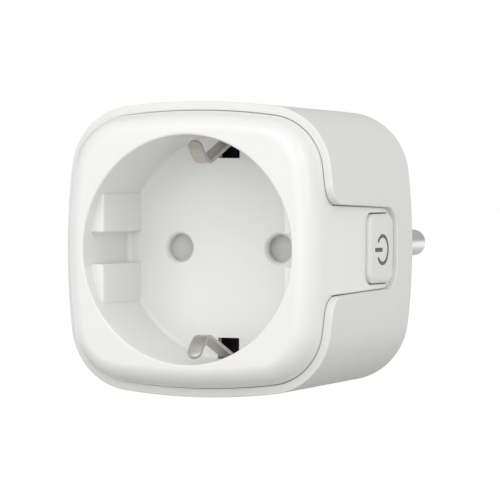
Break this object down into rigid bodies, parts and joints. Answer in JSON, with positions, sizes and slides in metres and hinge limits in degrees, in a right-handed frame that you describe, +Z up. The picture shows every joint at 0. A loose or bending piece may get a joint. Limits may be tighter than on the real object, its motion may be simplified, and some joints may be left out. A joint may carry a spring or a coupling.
{
  "type": "smart plug",
  "caption": "Compact mains smart plug: recessed earthed socket in a soft rounded cube, side power button, round boss with two pins behind.",
  "frame": {"origin": "centre of the round boss's rear end face, between the two plug pins", "axes": "+Y the way the plug pins point, +X towards the side with the power button, +Z up towards the upper earth clip"},
  "size_m": [0.0503, 0.0793, 0.0506],
  "materials": {
    "gloss_white": "polished",
    "matte_white": "fine matte",
    "light_grey": "satin",
    "black": "satin",
    "nickel": "satin nickel plate",
    "brass": "satin",
    "steel": "satin",
    "board": "solder mask",
    "copper": "enamelled copper",
    "blue": "epoxy coating",
    "yellow": "moulded case"
  },
  "bodies": {
    "housing": {"rear_casing": "matte_white", "front_cover": "gloss_white", "switch_body": "black", "control_board": "board", "status_led": "light_grey", "radio_module": "steel", "shutter_spring": "steel", "contact_carrier": "black", "carrier_screw_upper": "steel", "carrier_screw_lower": "steel", "live_contact": "brass", "neutral_contact": "brass", "earth_bar": "nickel", "rear_earth_contact_top": "nickel", "rear_earth_contact_bottom": "nickel", "live_pin": "nickel", "neutral_pin": "nickel", "pin_carrier": "black", "main_board": "board", "relay_cover": "black", "relay_coil": "copper", "bulk_capacitor": "blue", "film_capacitor": "yellow", "varistor": "blue", "fuse_resistor": "board", "transformer": "black", "bridge_rectifier": "black", "current_shunt": "copper"},
    "button": {"power_button": "gloss_white"},
    "plunger": {"switch_plunger": "light_grey"},
    "shutter": {"shutter": "light_grey"},
    "upper_clip": {"earth_clip_top": "nickel"},
    "lower_clip": {"earth_clip_bottom": "nickel"},
    "armature": {"relay_armature": "steel"}
  },
  "joints": [
    {"name": "button_press", "type": "slide", "parent": "housing", "child": "button", "axis": [-1, 0, 0], "range_m": [0, 0.0004], "stiffness_N_per_m": 3000, "springref_m": -0.0003},
    {"name": "plunger_press", "type": "slide", "parent": "housing", "child": "plunger", "axis": [-1, 0, 0], "range_m": [0, 0.0004]},
    {"name": "shutter_turn", "type": "hinge", "parent": "housing", "child": "shutter", "pos_m": [0, -0.0411, 0], "axis": [0, 1, 0], "range_deg": [0, 38], "stiffness_Nm_per_rad": 0.004, "springref_deg": -22.92, "deforming": ["shutter_spring"]},
    {"name": "clip_top_flex", "type": "hinge", "parent": "housing", "child": "upper_clip", "pos_m": [0, -0.0397, 0.01985], "axis": [-1, 0, 0], "range_deg": [0, 2], "stiffness_Nm_per_rad": 1.2},
    {"name": "clip_bottom_flex", "type": "hinge", "parent": "housing", "child": "lower_clip", "pos_m": [0, -0.0397, -0.01985], "axis": [1, 0, 0], "range_deg": [0, 2], "stiffness_Nm_per_rad": 1.2},
    {"name": "relay_armature_pull", "type": "hinge", "parent": "housing", "child": "armature", "pos_m": [-0.0067, -0.0218, 0.0123], "axis": [0, 0, -1], "range_deg": [0, 3], "stiffness_Nm_per_rad": 0.02, "springref_deg": -5.73}
  ],
  "couplings": [
    {"joint": "plunger_press", "follows": "button_press", "ratio": 1}
  ]
}
